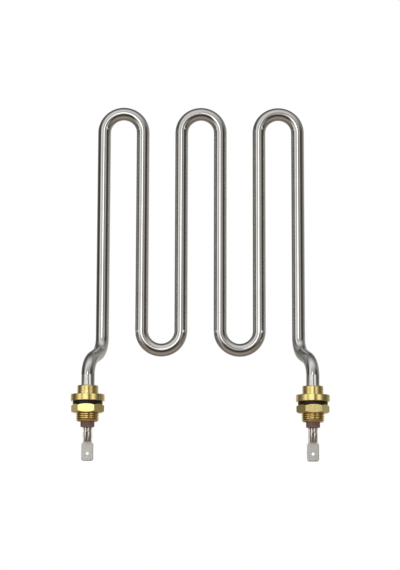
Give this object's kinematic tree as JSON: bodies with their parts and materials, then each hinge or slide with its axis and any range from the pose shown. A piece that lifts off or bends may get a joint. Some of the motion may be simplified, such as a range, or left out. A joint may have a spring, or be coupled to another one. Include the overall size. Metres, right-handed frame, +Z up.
{
  "type": "tubular heating element",
  "caption": "Tubular heating element: a bright steel tube bent into tall hairpins, with offset ends, screwed brass glands, gaskets, nuts and push-on tab terminals.",
  "frame": {"origin": "midway between the two gland axes, on the seat under the gland flanges", "axes": "+X from the left gland to the right one, +Y from the glands back to the plane of the hairpins, +Z up along the gland axes, away from the terminals"},
  "size_m": [0.1354, 0.0289, 0.1928],
  "materials": {
    "sheath_steel": "polished",
    "gland_brass": "turned, bright",
    "nut_brass": "satin",
    "gasket_rubber": "matt",
    "bush_plastic": "moulded, matt",
    "tab_metal": "tinned, satin",
    "pin_steel": "plain",
    "coil_wire": "wound wire",
    "core_powder": "packed powder",
    "seal_resin": "cured resin"
  },
  "bodies": {
    "root": {"sheath": "sheath_steel", "resistance_coil": "coil_wire", "magnesia_core": "core_powder", "left_terminal_pin": "pin_steel", "left_threaded_gland": "gland_brass", "left_gasket": "gasket_rubber", "left_hex_nut": "nut_brass", "left_insulating_bush": "bush_plastic", "left_end_seal": "seal_resin", "left_tab_terminal": "tab_metal", "right_terminal_pin": "pin_steel", "right_threaded_gland": "gland_brass", "right_gasket": "gasket_rubber", "right_hex_nut": "nut_brass", "right_insulating_bush": "bush_plastic", "right_end_seal": "seal_resin", "right_tab_terminal": "tab_metal"}
  },
  "joints": []
}
